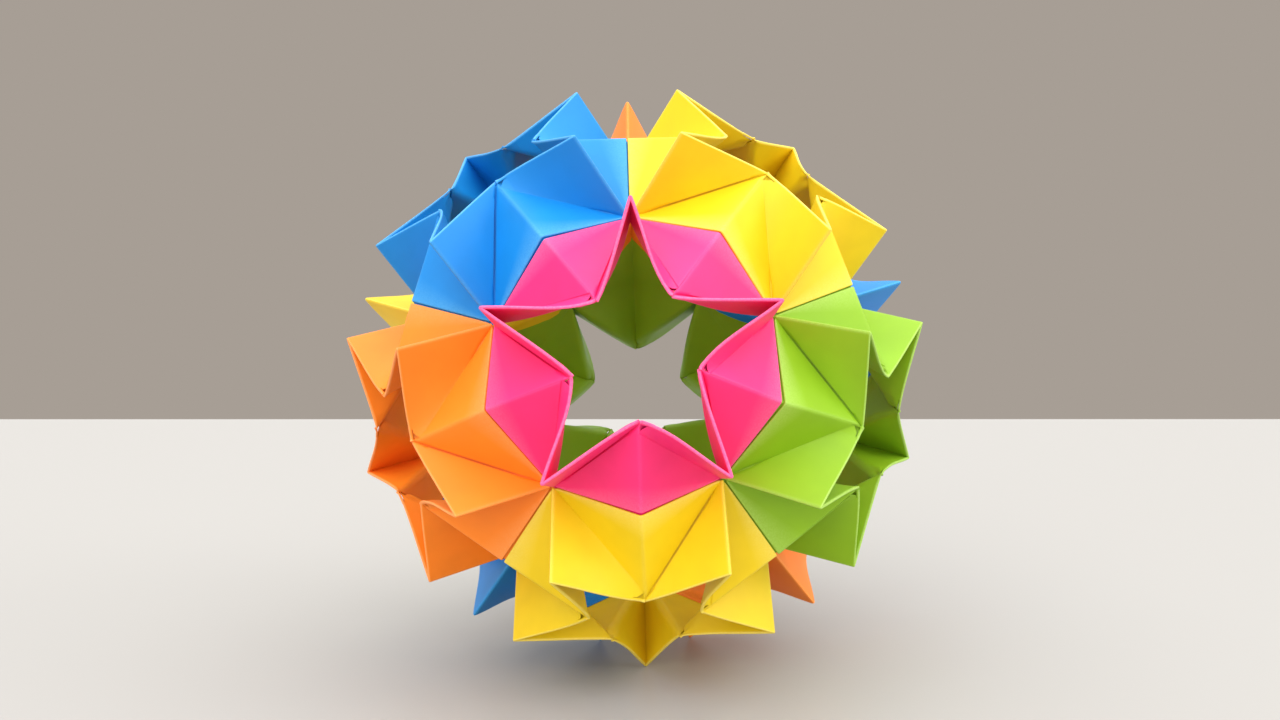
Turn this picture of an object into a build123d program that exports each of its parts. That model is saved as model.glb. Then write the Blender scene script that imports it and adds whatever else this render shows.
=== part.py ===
from build123d import *
from math import asin, atan, cos, degrees, radians, sin, sqrt, tan
import os

# Kusudama paper ball: sixty folded modules in twelve rings of five.
# Each ring stands round an open five-pointed star and has one colour.
# Lengths are in millimetres and angles in degrees. +Z is up, and the front ring faces -Y.

# Driving dimensions
FOLD = 26.5  # short side of every right-angled facet
DIP = 14.8  # how far a deep corner lies below the middle of a ridge
SKIN = 0.2  # pressed paper on each side of a sleeve
TAB_THICKNESS = 0.3  # folded tab that joins one module to the next
TAB_FIT = 0.05  # clearance all round a tab in its sleeve
TAB_REACH = 10.0  # how far a tab goes past the ridge
TAB_EAR = 6.0  # how far it goes along the rim, beyond the valley fold
TAB_TAPER = 2.0  # slope of its clipped corner between the two
TAB_ROOT = 3.0  # how far a tab goes back into its own module's wall
NOTCH = 3.5  # legs of the cut corner that shows the tab at the star hole
RIM_FOLD = 0.8  # width of the closed fold beside a tab
RIM_EASE = 0.25  # easing of the closed fold round the star hole
SEAM = 0.2  # glue gap between neighbouring modules
SEAM_EASE = 0.45  # easing of the outer edge along a seam between two rings
HEM = 2.0  # depth of the edge turned in along that seam
HEM_THICKNESS = 0.4  # pressed paper of the turned-in edge

# A sleeve's wall is two skins with the tab between them
WALL = 2 * (SKIN + TAB_FIT) + TAB_THICKNESS

# Directions of a dodecahedron, measured from a ring's own axis
RING_SIDES = 5
STEP = 360 / RING_SIDES
HALF_STEP = radians(STEP / 2)
RIGHT = radians(90)
GOLDEN = (1 + sqrt(5)) / 2
EDGE_POLAR = atan(1 / GOLDEN)  # to the middle of an edge
CORNER_POLAR = atan(2 / GOLDEN**2)  # to a corner
HALF_EDGE = atan(1 / GOLDEN**2)  # from an edge's middle to its end

# Elevations of the ring axes when a corner of the dodecahedron points straight up
SHALLOW = 90 - degrees(atan(3 + sqrt(5)))
STEEP = 90 - degrees(atan(3 - sqrt(5)))

# Name, azimuth from the front and elevation of each ring's axis
RINGS = [
    ("front_pink", 0, SHALLOW),
    ("left_orange", -60, -SHALLOW),
    ("right_green", 60, -SHALLOW),
    ("upper_left_blue", -60, STEEP),
    ("upper_right_yellow", 60, STEEP),
    ("lower_yellow", 0, -STEEP),
    ("back_left_yellow", -120, SHALLOW),
    ("back_right_blue", 120, SHALLOW),
    ("back_green", 180, -SHALLOW),
    ("upper_back_orange", 180, STEEP),
    ("lower_left_blue", -120, -STEEP),
    ("lower_right_orange", 120, -STEEP),
]


def direction(polar, azimuth):
    """Unit vector at a polar angle from the ring axis and an azimuth round it"""
    return Vector(sin(polar) * cos(azimuth), sin(polar) * sin(azimuth), cos(polar))


def across(start, end, point):
    """Unit vector square to the line from start to end, towards a point"""
    line = (end - start).normalized()
    reach = point - start
    return (reach - line * reach.dot(line)).normalized()


def normal_of(corners):
    """Unit normal of three corners, facing away from the middle of the ball"""
    normal = (corners[1] - corners[0]).cross(corners[2] - corners[0]).normalized()
    return normal if normal.dot(corners[0]) > 0 else normal * -1


def up_to(point, way, distance=0):
    """Cut square to a way, a distance along it from a point, that keeps what comes before"""
    return Plane(origin=point + way * distance, z_dir=way)


def beyond(point, way, distance=0):
    """Cut square to a way, a distance along it from a point, that keeps what comes after"""
    return -up_to(point, way, distance)


def fold_cut(start, end, kept, other):
    """Mirror plane of the fold from start to end, with the kept side behind it"""
    return up_to(start, across(start, end, other) - across(start, end, kept))


def plate(corners, thickness, cuts, raised=0):
    """Flat paper through three corners, cut back by planes and raised off its middle surface"""
    normal = normal_of(corners)
    centre = (corners[0] + corners[1] + corners[2]) / 3 + normal * raised
    sheet = Plane(origin=centre, z_dir=normal) * Box(4 * FOLD, 4 * FOLD, thickness)
    for cut in cuts:
        sheet = split(sheet, bisect_by=cut, keep=Keep.BOTTOM)
    return sheet


# Corners of one module's middle surface. The ball's middle is the origin, the ring
# axis is +Z and the star tip is over +X. Side +1 is the end with the tab, and side -1,
# clockwise of it seen from outside, is the end with the sleeve.
SIDES = (1, -1)
MIDDLE = Vector(0, 0, 0)
dip_angle = asin(DIP / FOLD)
ridge_radius = FOLD * (sin(dip_angle) + cos(dip_angle) / tan(HALF_EDGE))
deep = direction(CORNER_POLAR, 0) * FOLD * cos(dip_angle) / sin(HALF_EDGE)
ridge = {side: direction(EDGE_POLAR, side * HALF_STEP) * ridge_radius for side in SIDES}
rising = {side: direction(EDGE_POLAR - RIGHT, side * HALF_STEP) for side in SIDES}
leaving = {side: direction(RIGHT, side * (HALF_STEP + RIGHT)) for side in SIDES}
apex = {side: ridge[side] + rising[side] * FOLD for side in SIDES}

# The star tip lies one short side away from the deep corner and from both apexes
between = (apex[1] + apex[-1]) / 2
reach_to_tip = sqrt(FOLD**2 - (apex[1] - between).length ** 2)
chord = (between - deep).length
chord_way = (between - deep).normalized()
foot = (FOLD**2 - reach_to_tip**2 + chord**2) / (2 * chord)
tip_way = Vector(chord_way.Z, 0, -chord_way.X)
tip = deep + chord_way * foot + tip_way * sqrt(FOLD**2 - foot**2)

facet = {side: (deep, ridge[side], apex[side]) for side in SIDES}
flap = {side: (deep, apex[side], tip) for side in SIDES}
valley = {side: fold_cut(deep, apex[side], ridge[side], tip) for side in SIDES}
ridge_cut = {side: up_to(MIDDLE, leaving[side]) for side in SIDES}
rim_way = {side: across(apex[side], tip, deep) for side in SIDES}
seam_way = {side: across(ridge[side], apex[side], deep) for side in SIDES}
rim_line = (tip - apex[-1]).normalized()


def edges_along(solid, start, end):
    """Edges that run beside the line from start to end, no further off than the wall"""
    line = (end - start).normalized()
    chosen = ShapeList()
    for edge in solid.edges():
        gap = edge.center() - start
        off = (gap - line * gap.dot(line)).length
        if off < WALL and abs((edge @ 1 - edge @ 0).normalized().dot(line)) > 0.999:
            chosen.append(edge)
    return chosen


def half_wall(side):
    """Lower facet, standing flap and turned-in edge of one half of a module"""
    end = up_to(MIDDLE, leaving[side], -SEAM / 2)
    seam = beyond(MIDDLE, rising[side], SEAM / 2)
    centre = up_to(MIDDLE, Vector(0, -side, 0))
    rim = beyond(apex[side], rim_way[side])
    half = plate(facet[side], WALL, [end, seam, centre, valley[side]])
    half += plate(flap[side], WALL, [end, seam, centre, rim, -valley[side]])
    outward = normal_of(facet[side])
    hem_cuts = [end, seam, centre, up_to(MIDDLE, rising[side], SEAM / 2 + HEM_THICKNESS)]
    hem_cuts += [up_to(deep, outward), beyond(deep, outward, -HEM)]
    half += plate((deep, ridge[side], MIDDLE), 4 * HEM, hem_cuts)
    outer_edge = edges_along(half, deep, ridge[side]).sort_by(lambda edge: edge.center().length)[-1]
    return chamfer(outer_edge, SEAM_EASE)


def lining(thickness, margin, facet_cuts, flap_cuts):
    """Middle layer of a sleeve, folded along the valley and kept off the closed folds"""
    low = beyond(ridge[-1], rising[-1], margin)
    high = beyond(apex[-1], rim_way[-1], margin)
    layer = plate(facet[-1], thickness, [valley[-1], low, *facet_cuts])
    return layer + plate(flap[-1], thickness, [-valley[-1], high, *flap_cuts])


def corner(thickness, raised, clearance, cuts=()):
    """Paper of the sleeve's corner beside the apex, where the star hole shows the tab"""
    mouth = up_to(apex[-1], rim_line, NOTCH - clearance)
    return plate(flap[-1], thickness, [-valley[-1], mouth, *cuts], raised)


def room():
    """Space between the two skins of the sleeve, open at the ridge"""
    depth = TAB_REACH + TAB_FIT
    facet_end = up_to(ridge[-1], seam_way[-1], depth)
    flap_end = up_to(apex[-1], rim_line, depth)
    return lining(TAB_THICKNESS + 2 * TAB_FIT, RIM_FOLD, [facet_end], [flap_end])


def tab():
    """Tab in its place in the next module, with its root in its own module's wall"""
    margin = RIM_FOLD + TAB_FIT
    start = ridge_cut[-1]
    facet_end = up_to(ridge[-1], seam_way[-1], TAB_REACH)
    flap_end = up_to(apex[-1], rim_line, TAB_EAR)
    valley_end = apex[-1] + (deep - apex[-1]) * TAB_EAR / FOLD
    clipped = up_to(valley_end, seam_way[-1] * TAB_TAPER + rising[-1])
    free = lining(TAB_THICKNESS, margin, [start, facet_end, clipped], [start, flap_end])
    free += corner(TAB_THICKNESS, 0, TAB_FIT, [start, beyond(apex[-1], rim_way[-1])])
    low = beyond(ridge[1], rising[1], margin)
    back = up_to(ridge[1], seam_way[1], TAB_ROOT)
    root = plate(facet[1], TAB_THICKNESS, [ridge_cut[1], valley[1], low, back])
    return Rot(Z=STEP) * free + root


def module():
    """One folded module: wall with eased rims, sleeve with its cut corner, and tab"""
    wall = half_wall(1) + half_wall(-1)
    rims = edges_along(wall, apex[1], tip) + edges_along(wall, apex[-1], tip)
    wall = chamfer(rims, RIM_EASE)
    wall -= room()
    wall -= corner(WALL, SKIN, 0)
    return wall + tab()


def ring_plane(azimuth, elevation):
    """Frame of a ring: Z along its axis and X towards the star tip over or under it"""
    axis = direction(radians(90 - elevation), radians(azimuth - 90))
    upright = Vector(0, 0, 1 if elevation > 0 else -1)
    return Plane(origin=MIDDLE, x_dir=upright - axis * axis.dot(upright), z_dir=axis)


def main():
    """Turn copies of the module into every ring and stand the ball on its lowest tips"""
    folded = module()
    placed = {}
    for name, azimuth, elevation in RINGS:
        for count in range(RING_SIDES):
            turned = ring_plane(azimuth, elevation) * Rot(Z=count * STEP) * folded
            placed[f"{name}_{count + 1}"] = turned
    lowest = min(solid.bounding_box().min.Z for solid in placed.values())
    os.makedirs("parts", exist_ok=True)
    for name, solid in placed.items():
        export_step(Pos(Z=-lowest) * solid, f"parts/{name}.step")


main()
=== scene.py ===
"""Kusudama paper ball: sixty units folded from coloured paper, in twelve rings of five.

Each unit is a flat band with six straight folds. Its paper is laid out on the flat band first, as a path
of thin layers, and the folds then carry every point to its place on the ball.
Lengths are in millimetres on the band and in metres in the scene.
"""

import logging
import math
from collections.abc import Mapping, Sequence
from dataclasses import dataclass, field
from enum import IntEnum

import bmesh
import bpy
import numpy as np
from mathutils import Matrix, Vector


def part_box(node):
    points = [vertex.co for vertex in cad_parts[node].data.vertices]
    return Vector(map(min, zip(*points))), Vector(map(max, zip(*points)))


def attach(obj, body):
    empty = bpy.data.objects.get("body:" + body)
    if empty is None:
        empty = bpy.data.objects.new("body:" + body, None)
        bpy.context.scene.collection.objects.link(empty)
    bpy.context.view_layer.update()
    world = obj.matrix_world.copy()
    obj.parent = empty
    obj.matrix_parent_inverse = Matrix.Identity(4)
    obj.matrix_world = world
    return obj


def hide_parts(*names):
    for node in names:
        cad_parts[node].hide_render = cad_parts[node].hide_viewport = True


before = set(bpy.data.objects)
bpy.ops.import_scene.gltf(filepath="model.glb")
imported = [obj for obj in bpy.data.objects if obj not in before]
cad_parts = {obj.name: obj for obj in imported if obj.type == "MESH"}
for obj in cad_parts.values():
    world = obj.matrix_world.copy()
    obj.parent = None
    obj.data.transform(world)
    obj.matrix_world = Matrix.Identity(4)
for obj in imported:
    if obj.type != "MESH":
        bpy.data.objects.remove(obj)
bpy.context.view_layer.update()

Array = np.ndarray
Pair = tuple[float, float]
Floats = tuple[float, ...]
log = logging.getLogger("paper_ball")

MM = 0.001
BODY = "root"
RING_SIDES = 5
GOLDEN = (1 + math.sqrt(5)) / 2
MERGE = 0.003  # points closer than this are one, in millimetres
SHARP = 50.0  # edges that turn by more than this many degrees are shaded sharp
PHOTO_WIDTH = 1280
PHOTO_HEIGHT = 720


class Zone(IntEnum):
    """The stretches of paper that a path crosses, from the turned-in edge over the rim and back."""

    HEM = 0
    SEAM = 1
    FACET = 2
    FLAP = 3
    LIP = 4
    ROLL = 5
    INNER_LIP = 6
    INNER_FLAP = 7
    INNER_FACET = 8
    LINING = 9


@dataclass(frozen=True)
class BandSizes:
    """Sizes of one unit's flat band, in millimetres."""

    fold: float = 26.5  # half the band's length, and its full width
    dip: float = 14.8  # how far a deep corner lies below the middle of a ridge
    wall: float = 0.8  # all layers of the pressed band
    skin: float = 0.2  # the paper of the sleeve on each side
    soft_fold: float = 0.25  # how round the creases are
    notch: float = 3.5  # length of the sleeve's slanting end at the star hole
    strip: float = 0.9  # height of the rim where it goes round the ridge
    sleeve_strip: float = 3.2  # how far down the ridge the sleeve's valley fold starts
    thin_strip: float = 0.7  # height of the rim where it shows through the sleeve's end
    taper: float = 0.7  # distance past the ridge over which it thins
    tab: float = 0.3  # thickness of the tab that joins one unit to the next
    tab_reach: float = 10.0  # how far the tab goes past the ridge
    tab_ear: float = 6.0  # how far it goes along the rim
    tab_taper: float = 2.0  # slope of its clipped corner between the two
    tab_margin: float = 0.95  # how far it stays inside the closed folds
    seam_gap: float = 0.1  # from a seam's middle to the paper, at the deep corner
    seam_round: float = 0.25  # bend radius of the edge that turns in
    corner_ease: float = 0.5  # how far the deep corner stands back
    corner_width: float = 1.2  # and how far along the seam
    tuck: float = 0.4  # how far the outer layer runs on under the next unit's
    tuck_drop: float = 0.22  # how far it sinks there
    tuck_start: float = 0.3  # and how far before the ridge that begins
    belly: float = 1.1  # how far the inner layer hangs loose behind a valley fold
    belly_width: float = 3.5  # and how far to each side of the fold
    pocket: float = 0.45  # how far the inner layer stands off behind the sleeve's slanting end
    flange: float = 1.8  # how far one edge of a seam goes on under the other
    lining: float = 23.6  # how far it goes in the ring that lines its neighbours
    lining_share: float = 0.97  # most it may take of the way to the neighbour's valley fold
    lining_drop: float = 0.26  # how far that edge lies below the neighbour's inner layer
    bow: float = 0.35  # how far the rim over the tab bows towards the star hole
    sleeve_bow: float = 1.0  # and how far the empty sleeve's rim does

    @property
    def layer(self) -> float:
        """Distance of each skin's middle from the band's middle surface."""
        return (self.wall - self.skin) / 2

    @property
    def roll(self) -> float:
        """Height of the rim roll's centre above the seam."""
        return self.fold - self.wall / 2

    @property
    def slope(self) -> float:
        """How steeply the valley fold at the tab's end climbs along the band."""
        return (self.fold - self.strip) / self.fold

    @property
    def sleeve_slope(self) -> float:
        """How steeply the valley fold at the sleeve's end climbs."""
        return (self.fold - self.sleeve_strip) / self.fold

    @property
    def lean(self) -> float:
        """Length of a valley fold for each millimetre along the band."""
        return math.hypot(1, self.slope)


def smooth_step(share: Array | float) -> Array:
    """Rises from 0 to 1 with no slope at either end: three shares squared less two shares cubed."""
    share = np.clip(share, 0, 1)
    return share * share * (3 - 2 * share)


@dataclass(frozen=True)
class Fold:
    """One straight fold of the flat band.

    What lies beyond the fold swings by one bend vector for each millimetre of its distance x. A soft
    ramp, half of (x + the root of (x squared + softness squared)), rounds the crease.
    """

    across: Pair
    start: float
    softness: float
    bend: Array
    past: float = -math.inf  # only the paper further along the band than this is folded

    def at(self, along: Array, up: Array) -> tuple[Array, Array]:
        """Works out what the fold does.

        Args:
            along: Places along the band.
            up: Places from the seam to the rim.

        Returns:
            What the fold adds to each point, and how fast that grows for each millimetre beyond it.
        """
        beyond = self.across[0] * along + self.across[1] * up - self.start
        root = np.sqrt(beyond**2 + self.softness**2)
        folded = (along > self.past) / 2
        ramp = (beyond + root) * folded
        rate = (1 + beyond / root) * folded
        return ramp[..., None] * self.bend, rate[..., None] * self.bend


@dataclass
class FoldedBand:
    """A unit's middle surface: the flat band plus one soft ramp for each fold.

    The band's origin is the deep corner. Its first direction runs to the end with the tab, and its
    second from the seam to the rim.
    """

    origin: Array
    along_way: Array
    up_way: Array
    softness: float  # how round its creases are
    folds: list[Fold] = field(default_factory=list)

    def bring(self, across: Pair, start: float, flat: Pair, corner: Array, past: float = -math.inf) -> None:
        """Adds the fold that brings a flat corner to its place.

        Args:
            across: Unit vector on the band, square to the fold.
            start: Distance of the fold from the deep corner.
            flat: The corner's place on the flat band.
            corner: Where it has to be on the ball.
            past: Place along the band from which the fold starts.
        """
        sharp = self.origin + flat[0] * self.along_way + flat[1] * self.up_way
        for fold in self.folds:
            reach = fold.across[0] * flat[0] + fold.across[1] * flat[1] - fold.start
            sharp = sharp + max(reach, 0.0) * fold.bend
        beyond = across[0] * flat[0] + across[1] * flat[1] - start
        self.folds.append(Fold(across, start, self.softness, (corner - sharp) / beyond, past))

    def points(self, along: Array, up: Array, off: Array) -> Array:
        """Points off the middle surface: its own point plus the normal times the distance off it.

        Args:
            along: Places along the band.
            up: Places from the seam to the rim.
            off: Distances off the middle surface, outwards.

        Returns:
            The points on the ball, with one more axis for x, y and z.
        """
        middle = self.origin + along[..., None] * self.along_way + up[..., None] * self.up_way
        first = self.along_way
        second = self.up_way
        for fold in self.folds:
            swing, rate = fold.at(along, up)
            middle = middle + swing
            first = first + fold.across[0] * rate
            second = second + fold.across[1] * rate
        normal = np.cross(first, second)
        normal /= np.linalg.norm(normal, axis=-1, keepdims=True)
        return middle + off[..., None] * normal


@dataclass(frozen=True)
class UnitCorners:
    """Corners of a unit's middle surface, and those of its neighbours that its ends fold onto."""

    deep: Array
    tip: Array
    ridge: tuple[Array, Array]
    rim: tuple[Array, Array]
    lean: tuple[Array, Array, Array]  # from the rim to the apex: ahead, behind and past the ridge
    next_deep: Array
    next_tip: Array
    last_deep: Array

    def band(self, sizes: BandSizes) -> FoldedBand:
        """Folds the flat band through the corners.

        Args:
            sizes: The band's sizes.

        Returns:
            The folded band: a mountain fold at the tip, two valleys, two ridges and the next valley.
        """
        side = sizes.fold
        level, rise = 1 / sizes.lean, sizes.slope / sizes.lean
        turn = math.atan(sizes.sleeve_slope)
        ways = (self.rim[0] - self.tip) / side, (self.tip - self.deep) / side
        band = FoldedBand(self.deep, *ways, sizes.soft_fold)
        band.bring((-1.0, 0.0), 0.0, (-side, side), self.rim[1])
        band.bring((rise, -level), 0.0, (side, 0.0), self.ridge[0])
        level, rise = math.cos(turn), math.sin(turn)
        band.bring((-rise, -level), 0.0, (-side, 0.0), self.ridge[1])
        band.bring((1.0, 0.0), side, (2 * side, 0.0), self.next_deep)
        band.bring((rise, level), 2 * side * rise, (2 * side, side), self.next_tip, side)
        band.bring((-1.0, 0.0), side, (-2 * side, 0.0), self.last_deep)
        return band


def direction(polar: float, azimuth: float) -> Array:
    """Unit vector at a polar angle from a ring's axis and an azimuth round it."""
    level = math.sin(polar)
    return np.array([level * math.cos(azimuth), level * math.sin(azimuth), math.cos(polar)])


def ring_corners(sizes: BandSizes) -> dict[str, Array]:
    """Works out one unit's corners in a regular ring, from a dodecahedron's angles.

    Args:
        sizes: The band's sizes.

    Returns:
        The deep corner, the tip and, ahead and behind, the ridge corner, the apex and the rim's
        corner, which stands upright over the place where the valley fold meets the ridge. The leans
        lead from there back to the apex, and the one past the ridge is the next sleeve's. The ring's
        axis is +Z, and the tip is over +X.
    """
    side = sizes.fold
    half_step = math.pi / RING_SIDES
    edge_polar = math.atan(1 / GOLDEN)
    half_edge = math.atan(1 / GOLDEN**2)
    slant = math.asin(sizes.dip / side)
    radius = side * (math.sin(slant) + math.cos(slant) / math.tan(half_edge))
    deep = direction(math.atan(2 / GOLDEN**2), 0) * side * math.cos(slant) / math.sin(half_edge)
    found = {"deep": deep}
    for label, turn in (("ahead", half_step), ("behind", -half_step)):
        found[f"ridge_{label}"] = direction(edge_polar, turn) * radius
        rising = direction(edge_polar - math.pi / 2, turn)
        found[f"apex_{label}"] = found[f"ridge_{label}"] + rising * side
        upright = np.array([0, 0, 1.0]) - rising
        strip = sizes.strip if label == "ahead" else sizes.sleeve_strip
        found[f"rim_{label}"] = found[f"apex_{label}"] + upright * strip
        found[f"lean_{label}"] = -upright * strip
    found["lean_past"] = found["lean_ahead"] * sizes.sleeve_strip / sizes.strip
    between = (found["apex_ahead"] + found["apex_behind"]) / 2
    to_tip = side**2 - np.sum((found["apex_ahead"] - between) ** 2)
    chord = np.linalg.norm(between - deep)
    way = (between - deep) / chord
    foot = (side**2 - to_tip + chord**2) / (2 * chord)
    found["tip"] = deep + way * foot + np.array([way[2], 0, -way[0]]) * math.sqrt(side**2 - foot**2)
    return found


@dataclass(frozen=True)
class HandFolding:
    """The small unevenness of a ball that was folded by hand.

    Every corner moves by a sum of slow sine waves of its place on the ball, so corners that meet stay
    together. No corner moves outwards. The waves fade out near the floor, because the ball stands on
    its three lowest tips.
    """

    reach: float = 0.6  # height of each wave
    wavelengths: Floats = (95.0, 70.0, 52.0)
    seed: int = 50
    fade: float = 30.0  # height over the floor at which the waves have their full size
    gap: float = 0.22  # how much wider a seam stands open at its ridge, on average
    gap_length: float = 50.0  # wavelength of the change from one seam to the next
    gap_way: tuple[float, float, float] = (1.0, 1.1, 0.9)  # and the direction of its wave

    def settle(self, spot: Array, lowest: float) -> Array:
        """Moves one corner.

        Args:
            spot: The regular corner, measured from the ball's middle.
            lowest: Height of the floor, measured from there.

        Returns:
            The corner's place on the uneven ball.
        """
        draw = np.random.default_rng(self.seed)
        moved = np.zeros(3)
        for length in self.wavelengths:
            way = draw.normal(size=3)
            push = draw.normal(size=3)
            phase = draw.uniform(0, 2 * math.pi)
            turn = 2 * math.pi * float(spot @ way) / (length * np.linalg.norm(way)) + phase
            moved += math.sin(turn) * push / np.linalg.norm(push)
        outward = spot / np.linalg.norm(spot)
        moved -= outward * max(float(moved @ outward), 0.0)
        held = float(smooth_step((spot[2] - lowest) / self.fade))
        return spot + moved * self.reach * held

    def opening(self, spot: Array) -> float:
        """How much wider a seam stands open at one ridge: a sine of its place, from 0 to twice the mean."""
        turn = 2 * math.pi * float(spot @ np.array(self.gap_way)) / self.gap_length
        return self.gap * (1 + math.sin(turn))


def add_object(name: str, data: bpy.types.ID) -> bpy.types.Object:
    """Puts a mesh, lamp or camera into the scene.

    Args:
        name: The object's name.
        data: What it shows.

    Returns:
        The new object.
    """
    made = bpy.data.objects.new(name, data)
    bpy.context.scene.collection.objects.link(made)
    return made


@dataclass
class PaperMesh:
    """Points and faces of closed sheets of paper, gathered for one mesh."""

    points: list[Array] = field(default_factory=list)
    faces: list[Array] = field(default_factory=list)
    # how pale each point is painted: rubbing and painted highlight
    wear_and_highlight: list[Array] = field(default_factory=list)
    count: int = 0

    def add_sheet(self, front: Array, back: Array, kept: Array, wear_and_highlight: Array) -> None:
        """Closes two grids of points into a sheet with walls along every free edge.

        An edge between a kept cell and a missing one gives a wall, whose corners run against those of
        the kept cell's front face, so that all faces point out.

        Args:
            front: Points of the front side, rows by columns by 3.
            back: Points of the back side.
            kept: Which cells of the grid hold paper, one row and one column fewer.
            wear_and_highlight: How pale each point of the grid is made, from 0 to 1, by rubbing and by
                painted highlight.
        """
        rows, columns = wear_and_highlight.shape
        index = np.arange(rows * columns).reshape(rows, columns) + self.count
        far = rows * columns
        corners = [index[:-1, :-1], index[1:, :-1], index[1:, 1:], index[:-1, 1:]]
        quads = np.stack(corners, axis=-1)[kept]
        self.faces += [quads, quads[:, ::-1] + far]
        padded = np.pad(kept, 1)
        edges = (
            (padded[1:-1, :-1], padded[1:-1, 1:], index[1:, :], index[:-1, :]),
            (padded[:-1, 1:-1], padded[1:, 1:-1], index[:, :-1], index[:, 1:]),
        )
        for before, after, low, high in edges:
            for chosen, start, end in ((after & ~before, low, high), (before & ~after, high, low)):
                self.faces.append(np.stack([start, end, end + far, start + far], axis=-1)[chosen])
        self.points += [front.reshape(-1, 3), back.reshape(-1, 3)]
        self.wear_and_highlight += [wear_and_highlight.ravel(), wear_and_highlight.ravel()]
        self.count += 2 * far

    def build(self, name: str, sink: float, material: bpy.types.Material) -> bpy.types.Object:
        """Puts the sheets into one object at the origin, with coincident points merged.

        Args:
            name: The object's name.
            sink: How far the sheets move down first.
            material: Its finish.

        Returns:
            The new object, linked to the scene.
        """
        mesh = bpy.data.meshes.new(name)
        used, faces = np.unique(np.concatenate(self.faces), return_inverse=True)
        points = (np.concatenate(self.points)[used] - [0, 0, sink]) * MM
        mesh.from_pydata(points.tolist(), [], faces.reshape(-1, 4).tolist())
        # painted highlight and rubbing: how pale each point is painted
        worn_and_highlit = mesh.attributes.new("fold_wear_and_highlight", "FLOAT", "POINT")
        worn_and_highlit.data.foreach_set("value", np.concatenate(self.wear_and_highlight)[used].astype(np.float32))
        work = bmesh.new()
        work.from_mesh(mesh)
        bmesh.ops.remove_doubles(work, verts=work.verts, dist=MERGE * MM)
        work.to_mesh(mesh)
        work.free()
        mesh.polygons.foreach_set("use_smooth", np.ones(len(mesh.polygons), bool))
        mesh.set_sharp_from_angle(angle=math.radians(SHARP))
        mesh.materials.append(material)
        return add_object(name, mesh)


def pick(along: Array, pair: Pair) -> Array:
    """The first of a pair ahead of the band's middle, and the second behind it."""
    return np.where(along > 0, pair[0], pair[1])


@dataclass(frozen=True)
class OpenLine:
    """The open line along a valley fold: a narrow groove in the outer layer, in millimetres."""

    depth: float = 0.75
    ends: float = 0.55  # share of the depth at the fold's ends
    swell: float = 0.85  # and how much comes on top of it in the middle
    width: float = 0.48  # half of its width
    start: float = 1.5  # where it begins beside the deep corner, at the tab's end
    rise: float = 5.0  # distance over which it gets its depth there
    wedge: float = 9.0  # how far it runs from the deep corner at the sleeve's end
    wedge_start: float = 1.0
    wedge_rise: float = 2.0


# painted highlight: the paleness on the rim, seams and ridges stands partly for light caught on their
# rounding
@dataclass(frozen=True)
class WearAndHighlight:
    """How much paler each fold is painted, from 0 to 1, and how far that reaches in millimetres: partly
    rubbing, partly a painted highlight on the rounded rim, seam edges and folds.
    """

    rim: float = 1.0
    seam: float = 0.7
    mountain: float = 0.5
    mountain_width: float = 0.45
    ridge: float = 0.15
    ridge_width: float = 0.35


@dataclass
class SheetPath:
    """The way of one sheet across the band: one entry for each column of its grid."""

    zones: list[Zone] = field(default_factory=list)
    heights: list[Array] = field(default_factory=list)
    offs: list[float] = field(default_factory=list)
    turns: list[float] = field(default_factory=list)

    def add(self, zone: Zone, heights: Array, off: float, turn: float) -> None:
        """Adds columns of points.

        Args:
            zone: The stretch of paper that they belong to.
            heights: Places between the seam and the rim in each row, for one column or for several.
            off: Distance off the band's middle surface, outwards.
            turn: Where the sheet's front faces, in degrees: 0 up the band, 90 outwards, 180 down.
        """
        for height in np.atleast_2d(heights.T):
            self.zones.append(zone)
            self.heights.append(height)
            self.offs.append(off)
            self.turns.append(math.radians(turn))


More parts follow.
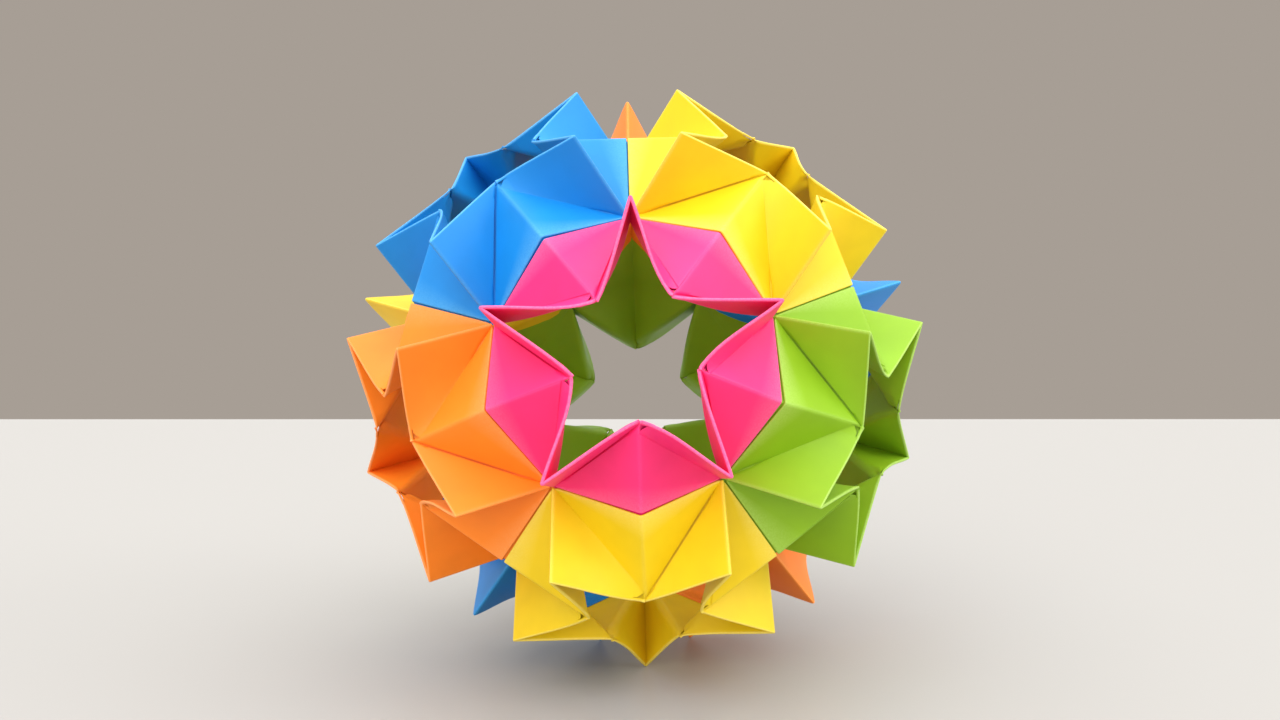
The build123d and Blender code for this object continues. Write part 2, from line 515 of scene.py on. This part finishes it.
@dataclass
class FoldedUnit:
    """One folded unit: a sleeve of thin paper rolled over the rim, and the tab inside it."""

    corners: UnitCorners
    spread: Pair  # how much wider the seam stands open at each ridge
    lining: Pair  # how far each edge goes on under the neighbour's paper
    sizes: BandSizes
    wedge: float  # strength of the open line at the sleeve's end, from 0 to 1
    line: OpenLine = OpenLine()
    # how pale the folds are painted: rubbing and painted highlight
    worn_and_highlit: WearAndHighlight = WearAndHighlight()
    crowd: Floats = (0.3, 0.6, 1.0, 1.9)  # columns beside a valley fold
    steps: int = 3  # even columns over the rest of a facet or flap
    fold_rows: Floats = (0.15, 0.35, 0.8, 1.8)  # rows beside the mountain fold
    ridge_rows: Floats = (2.4, 1.5, 0.8, 0.35, 0.12, 0.0)  # rows before a ridge
    past_rows: Floats = (1.2, 1.8, 2.5)  # rows past it
    bow_lag: float = 1.7  # puts a flap's fullest bow nearer to the ridge
    bow_rise: float = 1.3  # and nearer to the rim
    thin_edge: float = 0.6  # thickness of a cut edge, as a share of the paper's
    pocket_rise: Pair = (1.2, 1.4)  # how far the pocket takes to deepen, from the ridge and from the rim
    tab_rows: Floats = (-16.0, -8.0, -1.0, -0.35, 0.0, 0.35, 1.0, 2.0, 8.0, 16.0, 22.0)  # the tab's
    tab_ridge_rows: Floats = (-0.7, -0.35, 0.0, 0.35, 0.8, 1.6)  # beside the ridge
    tab_start: float = 2.0  # the tab is open along the groove from here
    tab_open: tuple[int, int] = (-3, 2)  # first and last open column, counted from the valley fold
    band: FoldedBand = field(init=False)
    mesh: PaperMesh = field(default_factory=PaperMesh)

    def valley(self, along: Array) -> Array:
        """Works out the height of the valley fold, also past the ridge.

        Args:
            along: Places along the band.

        Returns:
            The height at each place: its distance from the next deep corner times the fold's slope.
        """
        side = self.sizes.fold
        slope = np.where((along >= 0) & (along <= side), self.sizes.slope, self.sizes.sleeve_slope)
        return (side - np.abs(np.abs(along) - side)) * slope

    def rows(self) -> Array:
        """Chooses the grid's rows.

        Returns:
            Places along the band, crowded at the mountain fold, the ridges and the notch.
        """
        side = self.sizes.fold
        notch = self.sizes.notch
        near = np.array(self.fold_rows)
        middle = np.linspace(near[-1], side - notch - 0.1, 8)[1:]
        ends = side - np.array([notch, *self.ridge_rows])
        half = np.concatenate([near, middle, ends])
        tail = [0.15, self.sizes.tuck, self.sizes.taper, *self.past_rows, notch, notch + 0.6]
        return np.concatenate([-half[::-1], [0.0], half, side + np.array(tail)])

    def shares(self, along: Array, up: Array) -> tuple[Array, Array]:
        """Says where points lie on a flap.

        Args:
            along: Places along the band.
            up: Places from the seam to the rim.

        Returns:
            Shares of the way from the tip to the ridge, and of the way from the valley fold to the rim.
        """
        side = self.sizes.fold
        valley = self.valley(along)
        share = np.clip(1 - np.abs(np.abs(along) - side) / side, 0, 1)
        height = np.clip((up - valley) / np.maximum(side - valley, 0.1), 0, 1)
        return share, height

    def bow(self, along: Array, up: Array) -> Array:
        """Works out how far the flaps bow.

        Args:
            along: Places along the band.
            up: Places from the seam to the rim.

        Returns:
            Half a sine along the rim, fading to nothing at the valley fold.
        """
        share, height = self.shares(along, up)
        over_tab = (along > 0) & (along < self.sizes.fold)
        most = np.where(over_tab, self.sizes.bow, self.sizes.sleeve_bow)
        return most * np.sin(math.pi * share**self.bow_lag) * height**self.bow_rise

    def lean(self, along: Array, up: Array) -> Array:
        """Brings the rim from its upright place back to the apex, in step from the tip to the ridge.

        Args:
            along: Places along the band.
            up: Places from the seam to the rim.

        Returns:
            What to add to each point: the lean at the ridge, in proportion along the flap and up it.
        """
        share, height = self.shares(along, up)
        ahead, behind, past = self.corners.lean
        beyond = (along > self.sizes.fold)[..., None]
        which = np.where((along < 0)[..., None], behind, np.where(beyond, past, ahead))
        return (share * height)[..., None] * which

    def belly(self, along: Array, up: Array) -> Array:
        """How far the inner layer hangs loose.

        Args:
            along: Places along the band.
            up: Places from the seam to the rim.

        Returns:
            A bell across the fold times half a sine along it, and the pocket behind the sleeve's
            slanting end: a bump between the ridge and twice the notch, below the rim.
        """
        sizes = self.sizes
        valley = self.valley(along)
        across = (up - valley) / sizes.lean
        travel = np.clip((valley + up) / (2 * sizes.fold), 0, 1)
        bell = np.exp(-((across / sizes.belly_width) ** 2))
        inside = along + sizes.fold
        below = sizes.fold - sizes.strip - up
        bump = smooth_step(inside / self.pocket_rise[0]) * smooth_step(2 - inside / sizes.notch)
        bump = bump * smooth_step(below / self.pocket_rise[1]) * smooth_step(2 - below / sizes.notch)
        return sizes.belly * bell * np.sin(math.pi * travel) + sizes.pocket * bump

    def slit(self, along: Array, up: Array) -> Array:
        """Works out the open line along the valley fold.

        At the tab's end it runs from near the deep corner to the ridge. At the sleeve's end it is a
        wedge that closes on its way out.

        Args:
            along: Places along the band.
            up: Places from the seam to the rim.

        Returns:
            Its depth: a narrow flat-bottomed bell across the fold, deepest in the fold's middle.
        """
        sizes = self.sizes
        line = self.line
        valley = self.valley(along)
        across = (up - valley) / sizes.lean
        depth = line.ends + line.swell * np.sin(math.pi * np.clip(valley / sizes.fold, 0, 1))
        ahead = smooth_step((along - line.start) / line.rise) * (along < sizes.fold + sizes.tuck)
        opening = smooth_step((-along - line.wedge_start) / line.wedge_rise)
        behind = self.wedge * opening * smooth_step((along + line.wedge) / line.rise)
        return line.depth * depth * (ahead + behind) * np.exp(-((across / line.width) ** 4))

    def path(self, along: Array) -> SheetPath:
        """Works out the sleeve's path in the plane of each row.

        It goes up the hem, over facet and flap, round the rim, back down, and on under the neighbour.

        Args:
            along: The rows' places along the band.

        Returns:
            The path's steps.
        """
        sizes = self.sizes
        side = sizes.fold
        layer = sizes.layer
        share = np.clip(np.abs(along) / side, 0, 1)
        edge = sizes.seam_gap + pick(along, self.spread) * share**2
        edge = edge + sizes.corner_ease * np.exp(-((along / sizes.corner_width) ** 2))
        hem_line = edge + sizes.skin / 2
        seam_end = hem_line + sizes.seam_round
        past = smooth_step((along - side) / sizes.taper)
        strip = sizes.strip - (sizes.strip - sizes.thin_strip) * past
        valley = np.clip(self.valley(along), seam_end, side - strip)
        valley = np.where(along > side, side - strip, valley)
        strip_line = np.maximum(valley, side - strip)
        mouth = side - sizes.sleeve_strip + (along + side) * sizes.sleeve_strip / sizes.notch
        over_notch = along < sizes.notch - side - 0.01
        flap_top = np.where(over_notch, np.clip(mouth, valley, strip_line), strip_line)

        path = SheetPath()
        hem_top = layer - sizes.seam_round
        for rise in (0.0, 0.5, 1.0):
            path.add(Zone.HEM, hem_line, -sizes.skin + (hem_top + sizes.skin) * rise, 180.0)
        for turn in (22.5, 45.0, 67.5, 90.0):
            height = seam_end - sizes.seam_round * math.cos(math.radians(turn))
            off = hem_top + sizes.seam_round * math.sin(math.radians(turn))
            path.add(Zone.SEAM, height, off, 180.0 - turn)
        outer = self.across(valley, seam_end, flap_top)
        inner = self.across(valley, seam_end, strip_line)
        fold = len(self.crowd) + self.steps
        lip = strip_line[:, None] + (sizes.roll - strip_line)[:, None] * np.array([0.5, 1.0])
        path.add(Zone.FACET, outer[:, 1 : fold + 1], layer, 90.0)
        path.add(Zone.FLAP, outer[:, fold + 1 :], layer, 90.0)
        path.add(Zone.LIP, lip, layer, 90.0)
        for turn in (60.0, 30.0, 0.0, -30.0, -60.0, -90.0):
            height = np.full_like(along, sizes.roll + layer * math.cos(math.radians(turn)))
            path.add(Zone.ROLL, height, layer * math.sin(math.radians(turn)), turn)
        path.add(Zone.INNER_LIP, np.stack([lip[:, 0], strip_line], axis=1), -layer, -90.0)
        path.add(Zone.INNER_FLAP, inner[:, -2 : fold - 1 : -1], -layer, -90.0)
        path.add(Zone.INNER_FACET, inner[:, fold - 1 :: -1], -layer, -90.0)
        room = self.valley(along) * sizes.lining_share
        lining = np.minimum(pick(along, self.lining), room)
        for part, drop in ((0.05, 0.5), (0.1, 1.0), (0.4, 1.0), (0.7, 1.0), (1.0, 1.0)):
            off = -layer - sizes.lining_drop * drop
            path.add(Zone.LINING, seam_end - (seam_end + lining) * part, off, -90.0)
        return path

    def sleeve(self) -> None:
        """Adds the sleeve: one sheet whose path turns in at the seam and rolls over the rim."""
        sizes = self.sizes
        along = self.rows()
        path = self.path(along)
        up = np.stack(path.heights, axis=1)
        place = np.repeat(along[:, None], up.shape[1], axis=1)
        zones = np.array(path.zones)
        inner = (zones > Zone.ROLL) & (zones < Zone.LINING)
        outer = (zones >= Zone.FACET) & (zones < Zone.LIP)
        off = np.array(path.offs) - inner * self.belly(place, up) - outer * self.slit(place, up)
        sinking = smooth_step((place - sizes.fold + sizes.tuck_start) / (sizes.tuck + sizes.tuck_start))
        off -= (zones == Zone.FACET) * sizes.tuck_drop * sinking

        half = np.full(up.shape, sizes.skin / 2)
        half[[0, -1], :] *= self.thin_edge
        half[:, [0, -1]] *= self.thin_edge
        sides = []
        for sign in (1, -1):
            height = up + sign * half * np.cos(path.turns)
            distance = off + sign * half * np.sin(path.turns) - self.bow(place, height)
            sides.append(self.band.points(place, height, distance) + self.lean(place, height))
        self.mesh.add_sheet(*sides, self.kept(along, zones[1:]), self.wear_and_highlight(place, up, zones))

    def kept(self, along: Array, zones: Array) -> Array:
        """Says which cells of the sleeve's grid hold paper.

        Args:
            along: The rows' places along the band.
            zones: The zone of each column of cells.

        Returns:
            True for paper: no rim over the notch, and past the ridge only the tuck and the rim.
        """
        side = self.sizes.fold
        middle = ((along[1:] + along[:-1]) / 2)[:, None]
        rim = (zones >= Zone.LIP) & (zones <= Zone.INNER_LIP)
        bare = (middle < self.sizes.notch - side) & rim
        bare |= (middle > side) & ~(rim | (zones == Zone.FACET))
        bare |= (middle > side + self.sizes.tuck) & ~rim
        bare |= (pick(middle, self.lining) <= 0) & (zones == Zone.LINING)
        return ~bare

    def wear_and_highlight(self, along: Array, up: Array, zones: Array) -> Array:
        """Works out how much paler each point is painted: partly rubbing, partly painted highlight.

        Args:
            along: Places along the band.
            up: Places from the seam to the rim.
            zones: The zone of each column of points.

        Returns:
            Paleness from 0 to 1, partly rubbing and partly painted highlight: most on the rim's roll, and
            bells across the mountain fold and the ridges.
        """
        worn_and_highlit = self.worn_and_highlit
        # painted highlight: the rim roll and seam edges are painted palest, as if catching light
        rolled = worn_and_highlit.rim * (zones == Zone.ROLL) + worn_and_highlit.seam * (zones == Zone.SEAM)
        mountain = worn_and_highlit.mountain * np.exp(-((along / worn_and_highlit.mountain_width) ** 2)) * (up > 1.0)
        from_ridge = np.abs(along) - self.sizes.fold
        ridge = worn_and_highlit.ridge * np.exp(-((from_ridge / worn_and_highlit.ridge_width) ** 2))
        return np.clip(rolled[None, :] + mountain + ridge, 0, 1)

    def tab(self) -> None:
        """Adds the tab: a plain sheet that runs inside the sleeve and out over the ridge.

        Its columns follow the valley folds, and its last rows stretch to its clipped outline. It is
        open along the groove, and cut away where the sleeve's slanting end would leave it bare.
        """
        sizes = self.sizes
        side = sizes.fold
        low = sizes.tab_margin
        high = side - sizes.tab_margin
        over = side + np.array([*self.tab_ridge_rows, sizes.notch + 0.3])
        along = np.concatenate([self.tab_rows, over])
        up = self.across(np.clip(self.valley(along), low, high), low, high)
        ear = (side - sizes.tab_ear) * sizes.sleeve_slope
        last = self.across(np.array([ear]), low, high)
        clipped = ear - sizes.tab_taper * (sizes.tab_reach - sizes.tab_ear)
        outline = side + np.interp(last, [clipped, ear], [sizes.tab_reach, sizes.tab_ear])
        share = np.linspace(0, 1, 5)[1:, None]
        place = np.repeat(along[:, None], up.shape[1], axis=1)
        place = np.concatenate([place, place[-1:] + (outline - place[-1:]) * share])
        height = np.concatenate([up, up[-1:] + (last - up[-1:]) * share])
        bow = self.bow(place, height)
        lean = self.lean(place, height)
        front, back = (self.band.points(place, height, off * sizes.tab - bow) + lean for off in (0.5, -0.5))
        middle = (place[1:, :1] + place[:-1, :1]) / 2
        column = np.arange(place.shape[1] - 1) - len(self.crowd) - self.steps
        bare = (middle > self.tab_start) & (column >= self.tab_open[0]) & (column <= self.tab_open[1])
        bare |= (middle > side) & (column >= 0)
        bare &= middle < side + sizes.notch
        self.mesh.add_sheet(front, back, ~bare, np.zeros(place.shape))

    def across(self, valley: Array, low: Array | float, high: Array | float) -> Array:
        """Places across the band, crowded on both sides of the valley fold.

        Args:
            valley: Height of the fold in each row.
            low: Where the paper begins.
            high: Where it ends.

        Returns:
            One column for each place, as many below the fold as above it. The crowded ones move
            together where the paper is short.
        """
        near = np.array(self.crowd)
        even = np.arange(1, self.steps + 1)
        sides = []
        for length in (valley - low, high - valley):
            close = near * np.minimum(1.0, length / (near[-1] * 2))[:, None]
            rest = (length[:, None] - close[:, -1:]) * even / self.steps
            sides.append(np.concatenate([close, close[:, -1:] + rest], axis=1))
        fold = valley[:, None]
        return np.concatenate([fold - sides[0][:, ::-1], fold, fold + sides[1]], axis=1)

    def lay(self) -> PaperMesh:
        """Folds the band and lays its sleeve and its tab.

        Returns:
            The mesh of both.
        """
        self.band = self.corners.band(self.sizes)
        self.sleeve()
        self.tab()
        return self.mesh


def linear(hex_colour: str) -> Floats:
    """Turns an sRGB hex value to linear colour.

    Args:
        hex_colour: Six digits, such as "f2d32e".

    Returns:
        Linear red, green, blue and a full alpha.
    """
    parts = [int(hex_colour[start : start + 2], 16) / 255 for start in (0, 2, 4)]
    light = [part / 12.92 if part <= 0.04045 else ((part + 0.055) / 1.055) ** 2.4 for part in parts]
    return *light, 1.0


def add_node(
    tree: bpy.types.NodeTree,
    kind: str,
    settings: Mapping[str, object] | None = None,
    inputs: Mapping[str | int, object] | None = None,
) -> bpy.types.Node:
    """Adds one node.

    Args:
        tree: The material's or world's node tree.
        kind: The node's type, such as "Bump" for a ShaderNodeBump.
        settings: Properties of the node.
        inputs: A value or an output socket for each input, by its name or number.

    Returns:
        The new node.
    """
    made = tree.nodes.new(f"ShaderNode{kind}")
    for key, value in (settings or {}).items():
        setattr(made, key, value)
    for key, value in (inputs or {}).items():
        if isinstance(value, bpy.types.NodeSocket):
            tree.links.new(value, made.inputs[key])
        else:
            made.inputs[key].default_value = value
    return made


@dataclass(frozen=True)
class ColouredPaper:
    """Origami paper: thin smooth wood-pulp paper, dyed in one strong colour and rolled flat.

    It is matt with a faint pale sheen at a low angle, its fibres give a fine tooth, the dye is a little
    cloudy, and its folds are paler, partly from rubbing and partly a painted highlight on their rounding.
    """

    colour: str
    # pale colour painted on the folds: rubbing, and painted highlight on their rounding
    worn_and_highlit: str
    roughness: float = 0.5
    gloss: float = 0.35
    ior: float = 1.5
    fibre_mm: float = 0.45  # real fibres are about 0.03 mm across, too fine to show
    cloud_mm: float = 9.0
    tooth_mm: float = 0.03  # how far the fibres stand out
    tooth: float = 0.35  # and how strongly they shade
    cloudy: Pair = (0.96, 1.04)  # weakest and strongest dye
    rubbed_and_highlit: Pair = (0.25, 0.6)  # least and most of the pale colour on a fold, for rubbing and painted highlight

    def material(self, name: str) -> bpy.types.Material:
        """Makes the paper's material.

        Args:
            name: The material's name.

        Returns:
            The material, on Object coordinates and the fold attribute that paints folds paler, for rubbing
            and for highlight.
        """
        made = bpy.data.materials.new(name)
        made.use_nodes = True
        tree = made.node_tree
        tree.nodes.clear()
        place = add_node(tree, "TexCoord").outputs["Object"]
        noises = []
        for size, detail, roughness in ((self.cloud_mm, 2.0, 0.5), (self.fibre_mm, 3.0, 0.6)):
            waves = {"Vector": place, "Scale": 1 / (size * MM), "Detail": detail, "Roughness": roughness}
            noises.append(add_node(tree, "TexNoise", inputs=waves).outputs["Fac"])
        spread = []
        for noise, (low, high) in zip(noises, (self.cloudy, self.rubbed_and_highlit)):
            ends = {"Value": noise, "From Min": 0.3, "From Max": 0.7, "To Min": low, "To Max": high}
            spread.append(add_node(tree, "MapRange", inputs=ends).outputs["Result"])
        dye = {"Factor": 1.0, "A": linear(self.colour), "B": spread[0]}
        dyed = add_node(tree, "Mix", {"data_type": "RGBA", "blend_type": "MULTIPLY"}, dye)
        # painted highlight: folds are mixed towards the pale colour, partly for rubbing and partly for
        # light caught on their rounding
        fold_wear_and_highlight = add_node(tree, "Attribute", {"attribute_name": "fold_wear_and_highlight"})
        pale_inputs = {0: fold_wear_and_highlight.outputs["Fac"], 1: spread[1]}
        share = add_node(tree, "Math", {"operation": "MULTIPLY"}, pale_inputs)
        paling = {"Factor": share.outputs["Value"], "A": dyed.outputs["Result"], "B": linear(self.worn_and_highlit)}
        colour = add_node(tree, "Mix", {"data_type": "RGBA"}, paling)
        bump = {"Strength": self.tooth, "Distance": self.tooth_mm * MM, "Height": noises[1]}
        tooth = add_node(tree, "Bump", inputs=bump)
        surface = {
            "Base Color": colour.outputs["Result"],
            "Roughness": self.roughness,
            "IOR": self.ior,
            "Specular IOR Level": self.gloss,
            "Normal": tooth.outputs["Normal"],
        }
        shader = add_node(tree, "BsdfPrincipled", inputs=surface)
        add_node(tree, "OutputMaterial", inputs={"Surface": shader.outputs["BSDF"]})
        return made


# each paper's colour, then the pale colour painted on its folds for rubbing and highlight
PAPERS = {
    "pink": ColouredPaper("fd2c7c", "ff86b4"),
    "orange": ColouredPaper("fb881e", "ffb070"),
    "yellow": ColouredPaper("e8c80e", "f8e680"),
    "green": ColouredPaper("88b418", "bfe07a"),
    "blue": ColouredPaper("0a86d6", "6cc0ee"),
}


@dataclass
class PaperBall:
    """The whole ball: reads each ring's place from the parts of model.glb, and folds its units there."""

    sizes: BandSizes
    folding: HandFolding
    lining_ring: str = "back_green"
    laying_order: tuple[str, ...] = ("green", "blue", "orange", "pink", "yellow")  # from under to over
    centre: Array = field(init=False)
    tips: dict[str, Array] = field(init=False)
    axes: dict[str, Array] = field(init=False)

    def __post_init__(self) -> None:
        """Finds the ball's middle, which is the mean of its sixty star tips, and the rings' axes."""
        boxes = np.array([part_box(name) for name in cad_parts]) / MM
        middle = (boxes[:, 0].min(axis=0) + boxes[:, 1].max(axis=0)) / 2
        self.tips = {name: self.read_tip(name, middle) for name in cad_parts}
        self.centre = np.mean(list(self.tips.values()), axis=0)
        self.axes = {}
        for ring, nodes in self.rings().items():
            axis = np.sum([self.tips[name] - self.centre for name in nodes], axis=0)
            self.axes[ring] = axis / np.linalg.norm(axis)

    def read_tip(self, node: str, middle: Array) -> Array:
        """Reads a node's star tip.

        Args:
            node: The node's name.
            middle: Middle of the CAD model's box, in millimetres.

        Returns:
            The mean of its vertices furthest from that middle, in millimetres.
        """
        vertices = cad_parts[node].data.vertices
        points = np.empty(len(vertices) * 3)
        vertices.foreach_get("co", points)
        points = points.reshape(-1, 3) / MM
        reach = np.linalg.norm(points - middle, axis=1)
        return points[reach > reach.max() - 0.05].mean(axis=0)

    def rings(self) -> dict[str, list[str]]:
        """Sorts the nodes into rings.

        Returns:
            The nodes of each ring in the order of their numbers.
        """
        groups: dict[str, list[str]] = {}
        for name in sorted(self.tips):
            groups.setdefault(name.rpartition("_")[0], []).append(name)
        return groups

    def unit_frame(self, node: str) -> Array:
        """Turns a ring's own frame onto the ball.

        Args:
            node: The unit's node.

        Returns:
            A matrix whose columns are the ring's X, through the unit's tip, its Y and its axis.
        """
        axis = self.axes[node.rpartition("_")[0]]
        tip = self.tips[node] - self.centre
        level = tip - axis * (tip @ axis)
        level /= np.linalg.norm(level)
        return np.stack([level, np.cross(axis, level), axis], axis=1)

    def corners(self, ring: Sequence[str], count: int) -> UnitCorners:
        """Corners of one unit on the uneven ball.

        Args:
            ring: The ring's nodes in order.
            count: Which of them, from 0.

        Returns:
            Its corners and those of its neighbours, in millimetres.
        """
        regular = ring_corners(self.sizes)
        names = [ring[(count + step) % RING_SIDES] for step in (0, 1, -1)]
        turns = [self.unit_frame(name) for name in names]
        lowest = -self.centre[2]

        def spot(label: str, which: int = 0) -> Array:
            """One corner of this unit, the next or the last."""
            return self.centre + self.folding.settle(turns[which] @ regular[label], lowest)

        return UnitCorners(
            deep=spot("deep"),
            tip=spot("tip"),
            ridge=(spot("ridge_ahead"), spot("ridge_behind")),
            rim=(spot("rim_ahead"), spot("rim_behind")),
            lean=tuple(turns[0] @ regular[f"lean_{place}"] for place in ("ahead", "behind", "past")),
            next_deep=spot("deep", 1),
            next_tip=spot("tip", 1),
            last_deep=spot("deep", 2),
        )

    def edges(self, ring: str, corners: UnitCorners) -> tuple[Pair, Pair]:
        """Says how a unit's edge lies along its seam.

        Args:
            ring: The unit's ring.
            corners: The unit's corners.

        Returns:
            How much wider the seam stands open ahead and behind, and how far the edge goes on under
            the ring across it. That is the ring whose axis lies nearest to the seam, and of the two
            the one earlier in the laying order goes on.
        """
        reach = self.sizes.lining if ring == self.lining_ring else self.sizes.flange
        others = [other for other in self.axes if other != ring]
        spread = []
        lining = []
        for ridge in corners.ridge:
            seam = (corners.deep + ridge) / 2 - self.centre
            across = max(others, key=lambda other: float(seam @ self.axes[other]))
            spread.append(self.folding.opening(ridge - self.centre))
            lining.append(reach * (self.order(ring) < self.order(across)))
        return tuple(spread), tuple(lining)

    def order(self, ring: str) -> tuple[int, str]:
        """Place of a ring in the laying order, by its colour and then by its name."""
        return self.laying_order.index(ring.rpartition("_")[2]), ring

    def build(self) -> None:
        """Folds all sixty units, stands them on the floor and hands each its body and node."""
        laid: dict[str, PaperMesh] = {}
        draw = np.random.default_rng(self.folding.seed)
        for ring, nodes in self.rings().items():
            for count, node in enumerate(nodes):
                corners = self.corners(nodes, count)
                edges = self.edges(ring, corners)
                unit = FoldedUnit(corners, *edges, self.sizes, draw.uniform(0, 1))
                laid[node] = unit.lay()
        sink = min(float(points[:, 2].min()) for mesh in laid.values() for points in mesh.points)
        dressed = {name: paper.material(f"{name}_origami_paper") for name, paper in PAPERS.items()}
        for node, mesh in laid.items():
            colour = node.split("_")[-2]
            piece = mesh.build(f"{node}_folded", sink, dressed[colour])
            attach(piece, BODY)
            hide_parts(node)
            log.info("%s: %d faces", piece.name, len(piece.data.polygons))


@dataclass(frozen=True)
class PaintedBoard:
    """Table top: wooden board under a rolled coat of pale grey emulsion paint, which dries matt."""

    colour: str = "a8a6a3"
    roughness: float = 0.4
    gloss: float = 0.2

    def material(self) -> bpy.types.Material:
        """Makes the board's material.

        Returns:
            The material.
        """
        made = bpy.data.materials.new("matt_painted_board")
        made.use_nodes = True
        shader = made.node_tree.nodes["Principled BSDF"]
        shader.inputs["Base Color"].default_value = linear(self.colour)
        shader.inputs["Roughness"].default_value = self.roughness
        shader.inputs["Specular IOR Level"].default_value = self.gloss
        return made


@dataclass(frozen=True)
class Panel:
    """A wide soft patch of light, far off, that lights everything evenly."""

    name: str
    way: tuple[float, float, float]  # towards the patch
    angle: float  # how wide it looks, in degrees
    strength: float  # its light on a surface that faces it

    def build(self) -> None:
        """Hangs the panel."""
        light = bpy.data.lights.new(self.name, "SUN")
        light.angle = math.radians(self.angle)
        light.energy = self.strength
        lamp = add_object(self.name, light)
        lamp.rotation_euler = Vector(self.way).to_track_quat("Z", "Y").to_euler()


@dataclass(frozen=True)
class Studio:
    """Table, lamps, wall and camera."""

    board: PaintedBoard = PaintedBoard()
    panels: tuple[Panel, ...] = (
        Panel("ceiling", (0.1, -0.2, 1.0), 100.0, 3.6),
        Panel("window", (1.6, -0.4, 0.45), 30.0, 0.9),
        Panel("fill", (-0.7, -1.5, 0.5), 50.0, 0.8),
    )
    air_colour: str = "f6f3ef"  # of the light from all round
    air_strength: float = 0.95
    wall_colour: str = "a79e95"
    table_side: float = 3.0  # metres
    table_depth: float = 0.03
    table_edge: float = 0.46  # from the ball's middle to the table's far edge
    table_turn: float = -13.0  # degrees
    camera_distance: float = 0.354  # metres
    camera_pitch: float = 5.6  # degrees
    camera_roll: float = 1.95
    photo_focal: float = 1194.0  # focal length in pixels of the photograph
    photo_centre: Pair = (636.2, 375.3)  # where the ball's middle lies in it

    def table(self) -> None:
        """Lays a pale matt table top under the ball, turned so that its far edge looks level."""
        middle = (0, self.table_edge - self.table_side / 2, -self.table_depth / 2)
        turn = Matrix.Rotation(math.radians(self.table_turn), 4, "Z")
        size = Matrix.Diagonal((self.table_side, self.table_side, self.table_depth, 1.0))
        mesh = bpy.data.meshes.new("table_top")
        work = bmesh.new()
        bmesh.ops.create_cube(work, size=1.0, matrix=turn @ Matrix.Translation(middle) @ size)
        work.to_mesh(mesh)
        work.free()
        mesh.materials.append(self.board.material())
        table = add_object("table_top", mesh)

    def world(self) -> None:
        """Even pale light from all round, with a plain wall in its place where the camera sees it."""
        world = bpy.data.worlds.new("studio")
        world.use_nodes = True
        tree = world.node_tree
        tree.nodes.clear()
        air = {"Color": linear(self.air_colour), "Strength": self.air_strength}
        light = add_node(tree, "Background", inputs=air)
        wall = add_node(tree, "Background", inputs={"Color": linear(self.wall_colour)})
        ray = add_node(tree, "LightPath")
        seen = {0: ray.outputs["Is Camera Ray"], 1: light.outputs[0], 2: wall.outputs[0]}
        mix = add_node(tree, "MixShader", inputs=seen)
        add_node(tree, "OutputWorld", inputs={"Surface": mix.outputs["Shader"]})
        bpy.context.scene.world = world

    def camera(self, centre: Vector) -> None:
        """Sets the camera so that the ball's middle falls on its place in the photograph.

        Args:
            centre: The ball's middle in metres.
        """
        pitch = Matrix.Rotation(math.radians(90 - self.camera_pitch), 4, "X")
        roll = Matrix.Rotation(math.radians(-self.camera_roll), 4, "Z")
        pixel = self.camera_distance / self.photo_focal
        across = (PHOTO_WIDTH / 2 - self.photo_centre[0]) * pixel
        raised = (self.photo_centre[1] - PHOTO_HEIGHT / 2) * pixel
        back = Matrix.Translation((across, raised, self.camera_distance))
        data = bpy.data.cameras.new("camera")
        data.lens = data.sensor_width * self.photo_focal / PHOTO_WIDTH
        data.clip_start = 0.01
        camera = add_object("camera", data)
        camera.matrix_world = Matrix.Translation(centre) @ pitch @ roll @ back
        bpy.context.scene.camera = camera

    def build(self, centre: Vector) -> None:
        """Builds the whole studio round the ball.

        Args:
            centre: The ball's middle in metres.
        """
        self.table()
        for panel in self.panels:
            panel.build()
        self.world()
        self.camera(centre)
        bpy.context.scene.view_settings.view_transform = "Standard"


def main() -> None:
    """Builds the ball and its studio."""
    logging.basicConfig(level=logging.INFO, format="%(message)s")
    ball = PaperBall(BandSizes(), HandFolding())
    ball.build()
    Studio().build(Vector(ball.centre * MM))


if __name__ == "__main__":
    main()
